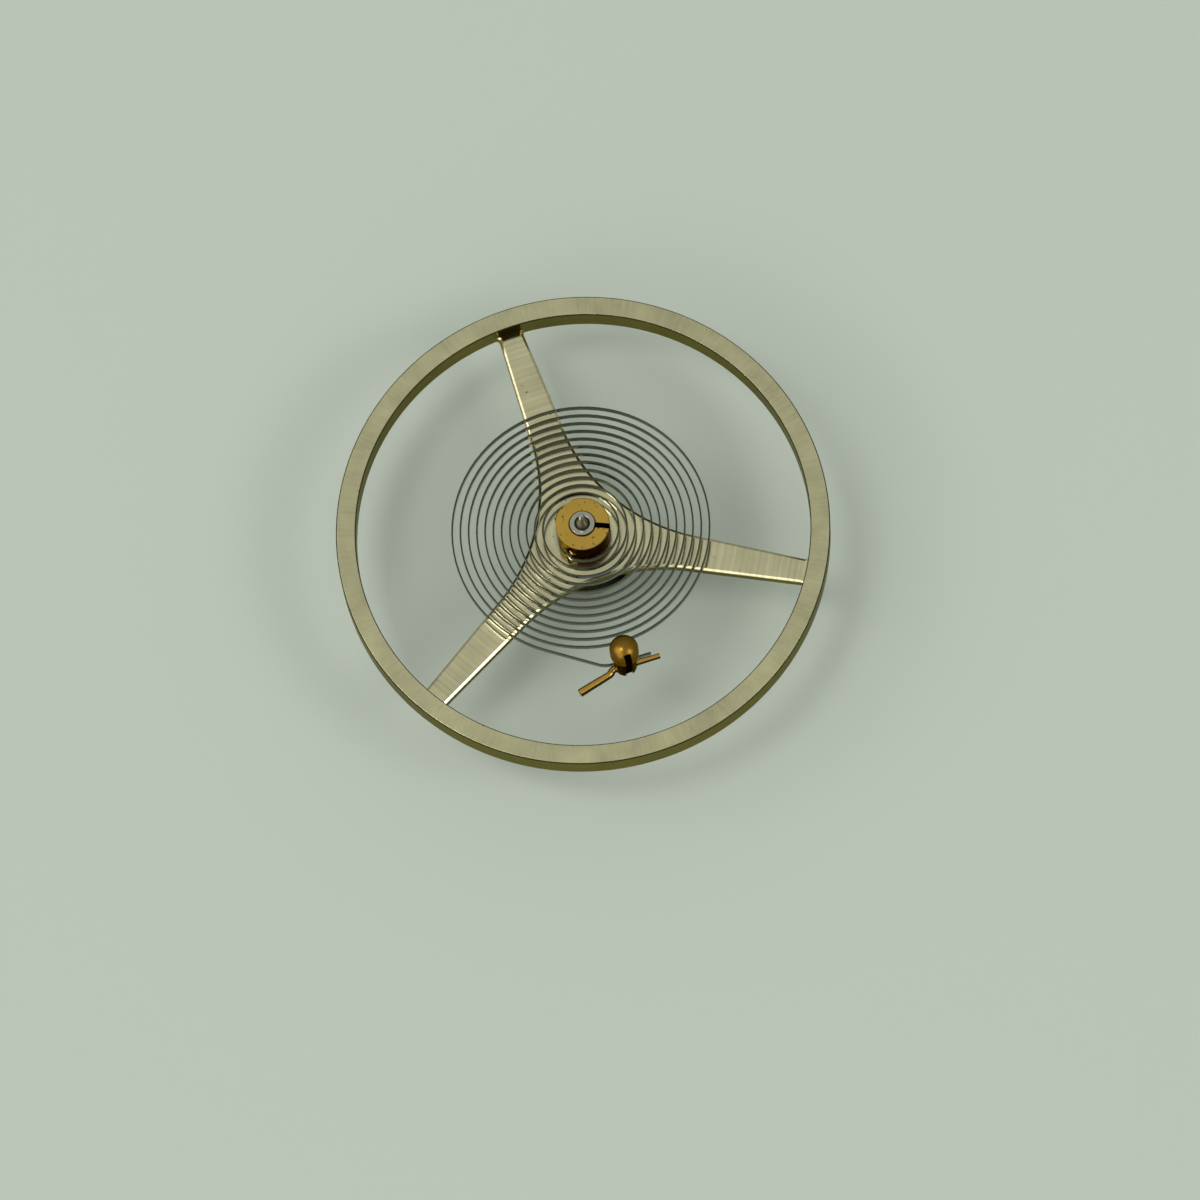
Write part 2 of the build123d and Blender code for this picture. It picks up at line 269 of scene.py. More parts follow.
def turned(name: str, section: Sequence[Corner], sides: int, ring: bool = False) -> Piece:
    """Turns a section into a round piece, one ring after the other.

    Args:
        name: The piece's name.
        section: Its corners.
        sides: How many sides the round has.
        ring: True where the section goes round a bore and back to its start.

    Returns:
        The piece, about the staff's axis.
    """
    radius, height = section[0]
    fill = "NOTHING" if ring else "NGON"
    add = bpy.ops.mesh.primitive_circle_add
    piece = primitive(add, name, vertices=sides, radius=radius, fill_type=fill, location=(0, 0, height))
    for wide, high in [*section[1:], *(section[:1] if ring else [])]:
        draw_out((0, 0, high - height))
        bpy.ops.transform.resize(value=(wide / radius, wide / radius, 1), center_override=(0, 0, 0))
        radius, height = wide, high
    closed()
    return piece


def modify(piece: Piece, kind: str, **settings: Any) -> None:
    """Gives a piece a modifier with these settings, and applies it."""
    active(piece)
    bpy.ops.object.modifier_add(type=kind)
    step = piece.modifiers[-1]
    for name, value in settings.items():
        setattr(step, name, value)
    bpy.ops.object.modifier_apply(modifier=step.name)


def work(piece: Piece, tool: Piece, cut: Cut) -> None:
    """Cuts a tool out of a piece or joins it on, and puts the tool away."""
    modify(piece, "BOOLEAN", operation=cut.value, solver="MANIFOLD", object=tool)
    piece.data.materials.clear()
    bpy.data.objects.remove(tool)


def drill(
    piece: Piece, radius: float, length: float, middle: Vector, sides: int, turn: Sequence[float] = (0, 0, 0)
) -> None:
    """Cuts a round hole or notch into a piece.

    Args:
        piece: The piece.
        radius: The drill's radius.
        length: Its length.
        middle: Its middle.
        sides: How many sides it has.
        turn: How it is turned from upright, in degrees about X, Y and Z.
    """
    settings = {"vertices": sides, "radius": radius, "depth": length, "location": middle}
    tool = primitive(bpy.ops.mesh.primitive_cylinder_add, "drill", turn=turn, **settings)
    closed()
    work(piece, tool, Cut.REMOVE)


def mill(piece: Piece, size: Sequence[float], middle: Sequence[float], heading: float) -> None:
    """Cuts a slot, a flat or a groove into a piece with an upright block.

    Args:
        piece: The piece.
        size: The block's size along its own axes.
        middle: Its middle.
        heading: The direction of its own X axis, in degrees.
    """
    add = bpy.ops.mesh.primitive_cube_add
    tool = primitive(add, "mill", size, (0, 0, heading), size=1, location=middle)
    closed()
    work(piece, tool, Cut.REMOVE)


def soften(piece: Piece, rounding: Rounding) -> None:
    """Rounds the sharp edges of a piece, so that they catch the light."""
    width, facets, angle = rounding
    limits = {"limit_method": "ANGLE", "angle_limit": radians(angle), "use_clamp_overlap": True}
    modify(piece, "BEVEL", width=width, segments=facets, **limits)


def settle(piece: Piece, place: Matrix | None = None) -> None:
    """Sets a piece into the frame: smooths it, moves it to its place, turns millimetres to metres.

    The normals are weighed while the piece is still in millimetres, because faces measured in
    square metres are too small for the modifier to tell apart.

    Args:
        piece: The piece, in millimetres.
        place: Where it goes, in millimetres, if it was made about the origin.
    """
    active(piece)
    bpy.ops.object.shade_smooth_by_angle(angle=radians(SMOOTH_ANGLE))
    modify(piece, "WEIGHTED_NORMAL", keep_sharp=True, weight=SIZE_WEIGHT, thresh=0.0)
    piece.matrix_world = Matrix.Scale(MM, 4) @ (place or Matrix.Identity(4))
    bpy.ops.object.transform_apply(location=True, rotation=True, scale=True)


def hand_over(piece: Piece, body: Body, node: str, place: Matrix | None = None) -> None:
    """Settles a piece and lets it stand for its CAD node, on its body.

    Args:
        piece: The piece, in millimetres.
        body: The body that it moves with.
        node: The CAD node that it stands for.
        place: Where it goes, in millimetres, if it was made about the origin.
    """
    settle(piece, place)
    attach(piece, body.value)
    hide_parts(node)


# The patterns of a metal's surface. Their scale is how many of them there are to a millimetre.
DULL_PATCHES = {"Scale": 1.6, "Detail": 4.0}
SWELLS = {"Scale": 0.9, "Detail": 2.0}
SPECKS = {"Scale": 13.0, "Detail": 3.0}
RING_DETAIL = {"Detail": 2.0}
MARK_DETAIL = {"Detail": 3.0, "Roughness": 0.6}
# The least and the greatest usual value of one pattern, and of two added up
ONE_PATTERN = {"From Min": 0.3, "From Max": 0.7}
TWO_PATTERNS = {"From Min": 0.7, "From Max": 1.3}
ROUGHNESS_SHARES = (0.8, 1.25)  # of a metal's roughness, at the bottom and the top of its marks
SPECK_PEAK = 0.78  # what few places of the specks' pattern reach
SPECK_BLUR = 0.05  # over how much of the pattern a speck fades out
SPECK_COVER = 0.85  # how much of the clean metal a speck hides
MARKED_RADIUS = 4.8  # in millimetres, where marks that point at the axis have their true spacing
OUTWARD_SHARE = 0.12  # how fast such marks change outwards, as a share of how fast they do round
LENGTH_SHARES = {Grain.LAPPED: 0.05, Grain.DRAWN: 0.04, Grain.POLISHED: 1.0}  # the same, along marks
SHARE, FIRST, SECOND, MIXED = 0, 6, 7, 2  # a colour mix's three inputs and its output


@dataclass(frozen=True)
class Metal:
    """A metal surface, and the marks that its last working left.

    Attributes:
        name: The real metal and how its surface was made.
        colour: What it is where clean, as sRGB hex.
        roughness: How much it blurs what it reflects.
        grain: Which way its marks run.
        spacing: The distance between its marks, in millimetres.
        depth: How deep they are, in millimetres.
        waviness: How far it swells from flat, in millimetres.
        stain: The colour of its specks, as sRGB hex.
        stain_share: How much of it is stained.
        contrast: How much darker its dull places are, as a share.
        edge: Its colour where seen at a low slant, as a share of white in sRGB hex.
        axis: The point that turned marks go round, in millimetres.
        heading: The direction of straight or drawn marks, in degrees.
    """

    name: str
    colour: str
    roughness: float
    grain: Grain
    spacing: float = 0.03
    depth: float = 0.0006
    waviness: float = 0.0
    stain: str = "3a2c18"
    stain_share: float = 0.0
    contrast: float = 0.2
    edge: str = "ffffff"
    axis: tuple[float, float] = (0.0, 0.0)
    heading: float = 0.0

    def material(self) -> bpy.types.Material:
        """Makes the material, whose patterns are all drawn from the piece's own coordinates."""
        made = blank(self.name)
        tree = made.node_tree
        place = add_node(tree, "TexCoord").outputs["Object"]
        scaled = add_node(tree, "VectorMath", {0: place, 1: (1 / MM,) * 3}, operation="MULTIPLY").outputs[0]
        marks = self.marks(tree, scaled)
        slow = add_node(tree, "TexNoise", {"Vector": scaled} | DULL_PATCHES).outputs[0]
        both = add_node(tree, "Math", {0: slow, 1: marks}, operation="ADD").outputs[0]
        uneven = add_node(tree, "MapRange", {"Value": both} | TWO_PATTERNS).outputs[0]
        colour = self.stained(tree, scaled, uneven)
        least, most = (self.roughness * share for share in ROUGHNESS_SHARES)
        feeds = {"Value": marks, "To Min": least, "To Max": most} | ONE_PATTERN
        rough = add_node(tree, "MapRange", feeds).outputs[0]
        feeds = {"Strength": 1.0, "Distance": self.depth * MM, "Height": marks}
        normal = add_node(tree, "Bump", feeds).outputs[0]
        if self.waviness:
            swell = add_node(tree, "TexNoise", {"Vector": scaled} | SWELLS).outputs[0]
            feeds = {"Strength": 1.0, "Distance": self.waviness * MM, "Height": swell, "Normal": normal}
            normal = add_node(tree, "Bump", feeds).outputs[0]
        feeds = {
            "Base Color": colour,
            "Metallic": 1.0,
            "Roughness": rough,
            "Specular Tint": linear(self.edge),
            "Normal": normal,
        }
        shader = add_node(tree, "BsdfPrincipled", feeds).outputs[0]
        add_node(tree, "OutputMaterial", {"Surface": shader})
        return made

    def marks(self, tree: bpy.types.NodeTree, place: Socket) -> Socket:
        """Draws the marks of the last working as a height from 0 to 1.

        Args:
            tree: The material's node tree.
            place: The place on the piece, in millimetres.

        Returns:
            The height's socket.
        """
        if self.grain in (Grain.TURNED, Grain.CROSSED):
            feeds = {0: place, 1: (-self.axis[0], -self.axis[1], 0)}
            flat = add_node(tree, "VectorMath", feeds, operation="ADD").outputs[0]
            level = add_node(tree, "VectorMath", {0: flat, 1: (1, 1, 0)}, operation="MULTIPLY").outputs[0]
        if self.grain is Grain.TURNED:
            radius = add_node(tree, "VectorMath", {0: level}, operation="LENGTH").outputs["Value"]
            height = add_node(tree, "SeparateXYZ", {0: place}).outputs[2]
            along = add_node(tree, "Math", {0: radius, 1: height}, operation="ADD").outputs[0]
            feeds = {"W": along, "Scale": 1 / self.spacing} | RING_DETAIL
            return add_node(tree, "TexNoise", feeds, noise_dimensions="1D").outputs[0]
        if self.grain is Grain.CROSSED:
            way = add_node(tree, "VectorMath", {0: level}, operation="NORMALIZE").outputs[0]
            feeds = {0: way, "Scale": MARKED_RADIUS}
            around = add_node(tree, "VectorMath", feeds, operation="SCALE").outputs[0]
            feeds = {0: level, 1: (OUTWARD_SHARE,) * 3, 2: around}
            grained = add_node(tree, "VectorMath", feeds, operation="MULTIPLY_ADD").outputs[0]
        else:
            feeds = {"Vector": place, "Angle": radians(-self.heading)}
            straight = add_node(tree, "VectorRotate", feeds, rotation_type="Z_AXIS").outputs[0]
            feeds = {0: straight, 1: (LENGTH_SHARES[self.grain], 1, 1)}
            grained = add_node(tree, "VectorMath", feeds, operation="MULTIPLY").outputs[0]
        feeds = {"Vector": grained, "Scale": 1 / self.spacing} | MARK_DETAIL
        return add_node(tree, "TexNoise", feeds).outputs[0]

    def stained(self, tree: bpy.types.NodeTree, place: Socket, uneven: Socket) -> Socket:
        """Draws the clean colour with its slight unevenness, tarnish and specks.

        Args:
            tree: The material's node tree.
            place: The place on the piece, in millimetres.
            uneven: How dull the metal is from place to place, from 0 to 1.

        Returns:
            The colour's socket.
        """
        clean = linear(self.colour)
        dull = tuple(c * (1 - self.contrast) for c in clean[:3]) + (1.0,)
        feeds = {SHARE: uneven, FIRST: clean, SECOND: dull}
        mixed = add_node(tree, "Mix", feeds, data_type="RGBA", clamp_factor=True).outputs[MIXED]
        if not self.stain_share:
            return mixed
        specks = add_node(tree, "TexNoise", {"Vector": place} | SPECKS).outputs[0]
        least = SPECK_PEAK - self.stain_share
        feeds = {"Value": specks, "From Min": least, "From Max": least + SPECK_BLUR, "To Max": SPECK_COVER}
        amount = add_node(tree, "MapRange", feeds, clamp=True).outputs[0]
        feeds = {SHARE: amount, FIRST: mixed, SECOND: linear(self.stain)}
        return add_node(tree, "Mix", feeds, data_type="RGBA", clamp_factor=True).outputs[MIXED]


@dataclass(frozen=True)
class Ruby:
    """Synthetic ruby, ground and polished: clear deep red, with a bright surface gloss.

    Attributes:
        clouds: How many of its clouds there are to a millimetre.
        cloud_share: How bright a cloud is, as a share of the clear colour.
    """

    name: str = "polished_synthetic_ruby"
    colour: str = "b0102e"
    roughness: float = 0.05
    refraction: float = 1.76
    clearness: float = 0.6
    clouds: float = 6.0
    cloud_share: float = 0.6

    def material(self) -> bpy.types.Material:
        """Makes the material, a little cloudy inside."""
        made = blank(self.name)
        tree = made.node_tree
        place = add_node(tree, "TexCoord").outputs["Object"]
        feeds = {"Vector": place, "Scale": self.clouds / MM, "Detail": 2.0}
        cloud = add_node(tree, "TexNoise", feeds).outputs[0]
        clear = linear(self.colour)
        deep = tuple(c * self.cloud_share for c in clear[:3]) + (1.0,)
        feeds = {SHARE: cloud, FIRST: clear, SECOND: deep}
        feeds = {
            "Base Color": add_node(tree, "Mix", feeds, data_type="RGBA").outputs[MIXED],
            "Roughness": self.roughness,
            "IOR": self.refraction,
            "Transmission Weight": self.clearness,
        }
        shader = add_node(tree, "BsdfPrincipled", feeds).outputs[0]
        add_node(tree, "OutputMaterial", {"Surface": shader})
        return made


Finish = Metal | Ruby


def dress(piece: Piece, finishes: Sequence[Finish], rule: Callable[[Face], Finish] | None = None) -> None:
    """Gives a piece its finishes.

    Args:
        piece: The piece.
        finishes: The finishes. The first is on every face where there is no rule.
        rule: Gives the finish of a face.
    """
    for finish in finishes:
        piece.data.materials.append(finish.material())
    if rule:
        for face in piece.data.polygons:
            face.material_index = finishes.index(rule(face))


# Nickel alloy, ground flat across the rim: a pale champagne metal with short soft marks. Real ones
# are too fine to show, so they are drawn coarser.
GROUND_RIM = Metal(
    "nickel_alloy_ground", "ccc79f", 0.30, Grain.CROSSED, spacing=0.09, depth=0.0003, stain_share=0.05,
    contrast=0.34,
)
# The same alloy as turned, on the walls of the rim and the arms: faint rings, painted darker and more golden
# as painted shade
PAINTED_SHADE_WALLS = Metal(
    "nickel_alloy_walls_painted_shade", "8e8657", 0.28, Grain.TURNED, spacing=0.02, depth=0.0004, edge="c6c2a8"
)
# The same alloy painted dark grey in the narrow bevels and in the corners over the arms: a painted dark
# reflection on the bevels and painted shade in the corners
PAINTED_SHADE_CORNERS = Metal(
    "nickel_alloy_painted_shade", "524f37", 0.34, Grain.TURNED, spacing=0.02, depth=0.0004, edge="8c8a74"
)
# The same alloy turned and then polished: it mirrors the coils, with a slow swell, a few specks and
# faint rings, which are drawn coarser than real ones so that they show
POLISHED_ARMS = Metal(
    "nickel_alloy_polished", "e0d8b0", 0.14, Grain.TURNED, spacing=0.09, depth=0.0003, waviness=0.004,
    stain_share=0.07, contrast=0.26,
)
# Hardened steel, burnished after turning: neutral and bright, nearly a mirror
BURNISHED_STEEL = Metal(
    "hardened_steel_burnished", "b5b5a9", 0.17, Grain.TURNED, spacing=0.015, depth=0.0003
)
# The same steel in the hollow of a pivot's cone: duller, and painted darker as shade in the hollow
PAINTED_SHADE_STEEL = Metal(
    "hardened_steel_painted_shade", "928f82", 0.42, Grain.TURNED, spacing=0.015, depth=0.0005
)
# Free-turning brass as it left the lathe: deep yellow with fine rings
TURNED_BRASS = Metal(
    "brass_turned", "c9a44b", 0.24, Grain.TURNED, spacing=0.02, depth=0.0006, stain="2a1605",
    stain_share=0.05,
)
# The same brass faced flat on a stone: a satin yellow with faint straight marks
FACED_BRASS = Metal(
    "brass_faced", "c9a44b", 0.27, Grain.LAPPED, spacing=0.03, depth=0.0002, stain="4a3210",
    stain_share=0.14, heading=82.8,
)
# Brass painted dark olive under a low gloss, as painted shade on the walls and on the pin's underside, with
# a few real specks of tarnish
SHADE_AND_TARNISH_BRASS = Metal(
    "brass_painted_shade_and_tarnish", "4e4424", 0.18, Grain.TURNED, spacing=0.03, depth=0.0008, stain="1c1408",
    stain_share=0.12, edge="a49c7c",
)
# Painted shade in the stud's groove and hole: brass painted nearly black
GROOVE_SHADE_BRASS = Metal("brass_groove_painted_shade", "2b210d", 0.45, Grain.TURNED, spacing=0.03, depth=0.001, edge="8c7a50")
# A brass head filed to a dome by hand and gone dull: old gold, a little uneven
FILED_BRASS = Metal(
    "brass_filed", "8e6c29", 0.30, Grain.TURNED, spacing=0.03, depth=0.001, waviness=0.012,
    stain="2a1a08", stain_share=0.10, edge="c8b480",
)
# Brass wire: yellow, with lines along it from the drawing plate; on the pin only its upper side, with
# painted shade below
DRAWN_BRASS = Metal(
    "brass_wire_drawn", "c89d48", 0.22, Grain.DRAWN, spacing=0.03, depth=0.001, stain="2a1a08",
    stain_share=0.08, edge="c8b480",
)
# Rolled spring alloy: the ribbon's wide sides are bright from the rolls
SPRING_SIDE = Metal("spring_alloy_rolled", "666a61", 0.12, Grain.POLISHED, spacing=0.02, depth=0.0001)
# The same alloy's narrow edges, drawn and left: dark grey and faintly green
SPRING_EDGE = Metal("spring_alloy_drawn", "4b5245", 0.30, Grain.POLISHED, spacing=0.02, depth=0.0002)


@dataclass
class Wheel:
    """The balance wheel: a plain rim on three tapered arms that flare into the hub plate.

    The arms' upper edges are bevelled, and inside the bevel they roll off slowly.

    Attributes:
        bevel_profile: How full the bevel's section is, from 0, hollow, to 1, square.
        roll_steps: The share of the roll-off's width and height that each of its steps takes.
        wall_slant: The upright share of a normal, under which its face is a wall of the rim.
        polished_slant: The same share, over which its face of the arms is polished.
    """

    diameter: float = 10.0
    rim_width: float = 0.40
    rim_height: float = 0.55
    rim_bevel: float = 0.02
    rim_rounding: Rounding = (0.02 / 3, 2, 28)
    bottom: float = 1.70
    arm_count: int = 3
    arm_direction: float = 101.9
    arm_thickness: float = 0.20
    arm_width_at_rim: float = 0.50
    arm_taper: float = 2.7
    flare_radius: float = 3.8
    root_fillet: float = 0.10
    fillet_steps: int = 8
    window_steps: int = 45
    root_sink: float = 0.03
    plate_lap: float = 0.22
    arm_bevel: float = 0.02
    bevel_profile: float = 0.35
    bevel_facets: int = 3
    roll_width: float = 0.05
    roll_drop: float = 0.018
    roll_steps: tuple[tuple[float, float], ...] = ((0.5, 0.8), (0.5, 0.2))
    bore: float = 0.455
    bore_sides: int = 120
    sides: int = 360
    wall_slant: float = 0.2
    polished_slant: float = 0.3

    @property
    def inner(self) -> float:
        """The rim's inner radius."""
        return self.diameter / 2 - self.rim_width

    def rim(self) -> Piece:
        """Turns the rim."""
        outer, bevel = self.diameter / 2, self.rim_bevel
        low, high = self.bottom, self.bottom + self.rim_height
        section = [
            (self.inner + bevel, low), (outer - bevel, low), (outer, low + bevel), (outer, high - bevel),
            (outer - bevel, high), (self.inner + bevel, high), (self.inner, high - bevel),
            (self.inner, low + bevel),
        ]
        rim = turned("wheel", section, self.sides, ring=True)
        soften(rim, self.rim_rounding)
        return rim

    def window(self, direction: float) -> Piece:
        """Draws the opening between two arms and thickens it into a tool.

        Args:
            direction: The middle of the opening, in degrees.

        Returns:
            The tool.
        """
        half_pitch = HALF_TURN / self.arm_count
        slope = tan(radians(self.arm_taper))
        side_angle = half_pitch + self.arm_taper
        width_at_axis = self.arm_width_at_rim / 2 + self.inner * slope
        corner = width_at_axis / (sin(radians(half_pitch)) + cos(radians(half_pitch)) * slope)
        flare_centre = corner + self.flare_radius / sin(radians(side_angle))
        side = spoke(side_angle)
        inwards = spoke(side_angle - QUARTER_TURN)
        tangent = Vector((corner, 0, 0)) + side * (self.flare_radius / tan(radians(side_angle)))
        arc_radius = self.inner + self.root_sink
        start = Vector((corner, 0, 0)) + inwards * self.root_fillet
        reach = -start.dot(side) + sqrt(
            start.dot(side) ** 2 - start.length_squared + (arc_radius - self.root_fillet) ** 2
        )
        fillet_centre = start + side * reach
        fillet_start = fillet_centre - inwards * self.root_fillet
        fillet_end_angle = degrees(atan2(fillet_centre.y, fillet_centre.x))
        fillet_turn = fillet_end_angle - side_angle - QUARTER_TURN

        low = self.bottom - self.arm_thickness
        settings = {"vertices": self.sides, "radius": self.flare_radius, "location": (flare_centre, 0, low)}
        tool = primitive(bpy.ops.mesh.primitive_circle_add, "window", **settings)
        bpy.ops.mesh.bisect(
            plane_co=(tangent.x, 0, low), plane_no=(1, 0, 0), clear_outer=True, threshold=SAME_PLACE
        )
        points = [v.co.copy() for v in bmesh.from_edit_mesh(tool.data).verts if v.co.y > 0]
        near = [place for place in points if (place - tangent).xy.length < self.root_fillet]
        end = max(near, key=lambda place: place.x)
        choose(tool, Part.POINT, lambda point: (point.co - end).length < SAME_PLACE)
        draw_out((fillet_start.x - end.x, fillet_start.y - end.y, 0))
        swing((fillet_centre.x, fillet_centre.y, low), fillet_turn, self.fillet_steps)
        swing((0, 0, low), -fillet_end_angle, self.window_steps)
        bpy.ops.mesh.select_all(action="SELECT")
        bpy.ops.mesh.bisect(plane_co=(0, 0, low), plane_no=(0, 1, 0), clear_inner=True, threshold=SAME_PLACE)
        bpy.ops.object.mode_set(mode="OBJECT")
        modify(tool, "MIRROR", use_axis=(False, True, False), merge_threshold=MIRROR_GAP)
        bpy.ops.object.mode_set(mode="EDIT")
        bpy.ops.mesh.select_all(action="SELECT")
        bpy.ops.mesh.edge_face_add()
        draw_out((0, 0, self.arm_thickness * THROUGH))
        closed()
        tool.rotation_euler.z = radians(direction)
        bpy.ops.object.transform_apply(rotation=True)
        return tool

    def plate(self) -> Piece:
        """Cuts the three arms and the hub plate from a disc, and rolls their upper edges off."""
        depth = self.arm_thickness - self.roll_drop
        top = self.bottom + depth
        settings = {"vertices": self.sides, "radius": self.inner + self.plate_lap, "depth": depth}
        settings["location"] = (0, 0, self.bottom + depth / 2)
        plate = primitive(bpy.ops.mesh.primitive_cylinder_add, "plate", **settings)
        closed()
        pitch = FULL_TURN / self.arm_count
        for number in range(self.arm_count):
            work(plate, self.window(self.arm_direction + pitch * (number + 0.5)), Cut.REMOVE)
        middle = Vector((0, 0, self.bottom))
        drill(plate, self.bore, self.arm_thickness * THROUGH, middle, self.bore_sides)
        active(plate)
        bpy.ops.object.mode_set(mode="EDIT")

        def is_rounded(edge: Any) -> bool:
            """Tells the upper edges of the openings from all others."""
            level = all(abs(v.co.z - top) < SAME_PLACE for v in edge.verts)
            walls = [abs(f.normal.z) < STEEP for f in edge.link_faces]
            opening = self.bore + self.roll_width < edge.verts[0].co.xy.length < self.inner
            return level and opening and any(walls) and not all(walls)

        choose(plate, Part.EDGE, is_rounded)
        shape = {"segments": self.bevel_facets, "profile": self.bevel_profile}
        bpy.ops.mesh.bevel(offset=self.arm_bevel, affect="EDGES", **shape)
        flat_top = top - SAME_PLACE
        choose(plate, Part.FACE, lambda f: f.normal.z > LEVEL and f.calc_center_median().z > flat_top)
        for across, upwards in self.roll_steps:
            bpy.ops.mesh.inset(thickness=self.roll_width * across, use_even_offset=True)
            bpy.ops.transform.translate(value=(0, 0, self.roll_drop * upwards))
        closed()
        return plate

    def over_arm(self, place: Vector) -> bool:
        """Tells whether a place on the rim's inner wall is over the end of an arm."""
        above = place.z > self.bottom + self.arm_thickness
        on_wall = abs(place.xy.length - self.inner) < self.rim_bevel / 4
        pitch = FULL_TURN / self.arm_count
        away = (degrees(atan2(place.y, place.x)) - self.arm_direction + pitch / 2) % pitch - pitch / 2
        return above and on_wall and abs(radians(away)) * self.inner < self.arm_width_at_rim / 2

    def finish_of(self, face: Face) -> Metal:
        """Chooses a face's finish by where it is and how it slants; the corners over the arms and the rim's
        bevels get painted shade, and the walls a darker painted shade.
        """
        slant = abs(face.normal.z)
        # Painted shade: the rim's inner wall over each arm's end is painted dark grey.
        if slant < self.wall_slant and self.over_arm(face.center):
            return PAINTED_SHADE_CORNERS
        if face.center.xy.length < self.inner - SAME_PLACE:
            # The arms' walls get painted shade.
            return POLISHED_ARMS if slant > self.polished_slant else PAINTED_SHADE_WALLS
        if slant > LEVEL:
            return GROUND_RIM
        # The rim's narrow bevels get a painted dark reflection, and its walls painted shade.
        return PAINTED_SHADE_CORNERS if slant > self.wall_slant else PAINTED_SHADE_WALLS

    def build(self) -> list[Piece]:
        """Joins the plate to the rim and gives each face its finish, with painted shade on the walls, the
        bevels and the corners over the arms.
        """
        wheel = self.rim()
        work(wheel, self.plate(), Cut.JOIN)
        dress(wheel, (GROUND_RIM, PAINTED_SHADE_WALLS, POLISHED_ARMS, PAINTED_SHADE_CORNERS), self.finish_of)
        hand_over(wheel, Body.BALANCE, "balance_wheel")
        return [wheel]


def hollow(wide: Corner, narrow: Corner, share: float, steps: int) -> list[Corner]:
    """Gives the points between the ends of a cone that is hollowed like a trumpet.

    Args:
        wide: Its wide end.
        narrow: Its narrow end.
        share: How much of the difference in radius is left half way along.
        steps: In how many steps the cone is turned.

    Returns:
        The points, from wide to narrow.
    """
    points = []
    for number in range(1, steps):
        along = number / steps
        middle = narrow[0] + (wide[0] - narrow[0]) * share
        blend = (1 - along) ** 2 * wide[0] + along**2 * narrow[0]
        control = 2 * middle - (wide[0] + narrow[0]) / 2
        points.append((blend + 2 * along * (1 - along) * control, wide[1] + (narrow[1] - wide[1]) * along))
    return points


@dataclass
class Staff:
    """The balance staff, turned from one steel rod, with a pivot at each end."""

    pivot_radius: float = 0.05
    pivot_length: float = 0.16
    tip_bevel: float = 0.015
    tip_share: float = 0.3
    cone_steps: tuple[int, int] = (8, 10)
    hollow_share: float = 0.35
    roller_seat: tuple[float, float] = (0.225, 0.43)
    table_top: float = 1.25
    hub_cone_radius: float = 0.36
    flange: tuple[float, float] = (0.60, 1.50)
    flange_bevel: float = 0.03
    wheel_seat: tuple[float, float] = (0.45, 1.70)
    arm_top: float = 1.90
    rivet_overhang: float = 0.06
    rivet_top: float = 1.95
    collet_seat: tuple[float, float] = (0.25, 2.54)
    end_lip: float = 0.09
    cone: tuple[float, float] = (0.145, 2.49)
    upper_pivot: tuple[float, float] = (2.86, 3.02)
    sides: int = 128
    rounding: Rounding = (0.006, 2, 35)

    def finish_of(self, face: Face) -> Metal:
        """Chooses a face's finish: painted shade in the hollows of the cones, and bright all over else."""
        height, radius = face.center.z, face.center.xy.length
        low = self.pivot_length < height < self.roller_seat[1] and radius < self.roller_seat[0]
        wide = self.collet_seat[0] - self.end_lip
        high = self.cone[1] < height < self.upper_pivot[0] and radius < wide
        # The hollows of both cones get painted shade.
        return PAINTED_SHADE_STEEL if low or high else BURNISHED_STEEL

    def build(self) -> list[Piece]:
        """Turns the staff and burnishes it, with painted shade in the hollows of its cones."""
        pivot, tip = self.pivot_radius, self.tip_bevel
        corner = tip * self.tip_share
        low_steps, high_steps = self.cone_steps
        base, top = self.upper_pivot
        low_cone = hollow(self.roller_seat, (pivot, self.pivot_length), self.hollow_share, low_steps)[::-1]
        high_cone = hollow(self.cone, (pivot, base), self.hollow_share, high_steps)
        section = [
            (pivot - tip, 0),
            (pivot - corner, corner),
            (pivot, tip),
            (pivot, self.pivot_length),
            *low_cone,
            self.roller_seat,
            (self.roller_seat[0], self.table_top),
            (self.hub_cone_radius, self.table_top),
            (self.flange[0] - self.flange_bevel, self.flange[1]),
            (self.flange[0], self.flange[1] + self.flange_bevel),
            (self.flange[0], self.wheel_seat[1]),
            self.wheel_seat,
            (self.wheel_seat[0], self.arm_top),
            (self.wheel_seat[0] + self.rivet_overhang, self.arm_top),
            (self.wheel_seat[0], self.rivet_top),
            (self.collet_seat[0], self.rivet_top),
            self.collet_seat,
            (self.collet_seat[0] - self.end_lip, self.collet_seat[1]),
            self.cone,
            *high_cone,
            (pivot, base),
            (pivot, top - tip),
            (pivot - corner, top - corner),
            (pivot - tip, top),
        ]
        staff = turned("staff", section, self.sides)
        soften(staff, self.rounding)
        dress(staff, (BURNISHED_STEEL, PAINTED_SHADE_STEEL), self.finish_of)
        hand_over(staff, Body.BALANCE, "balance_staff")
        return [staff]


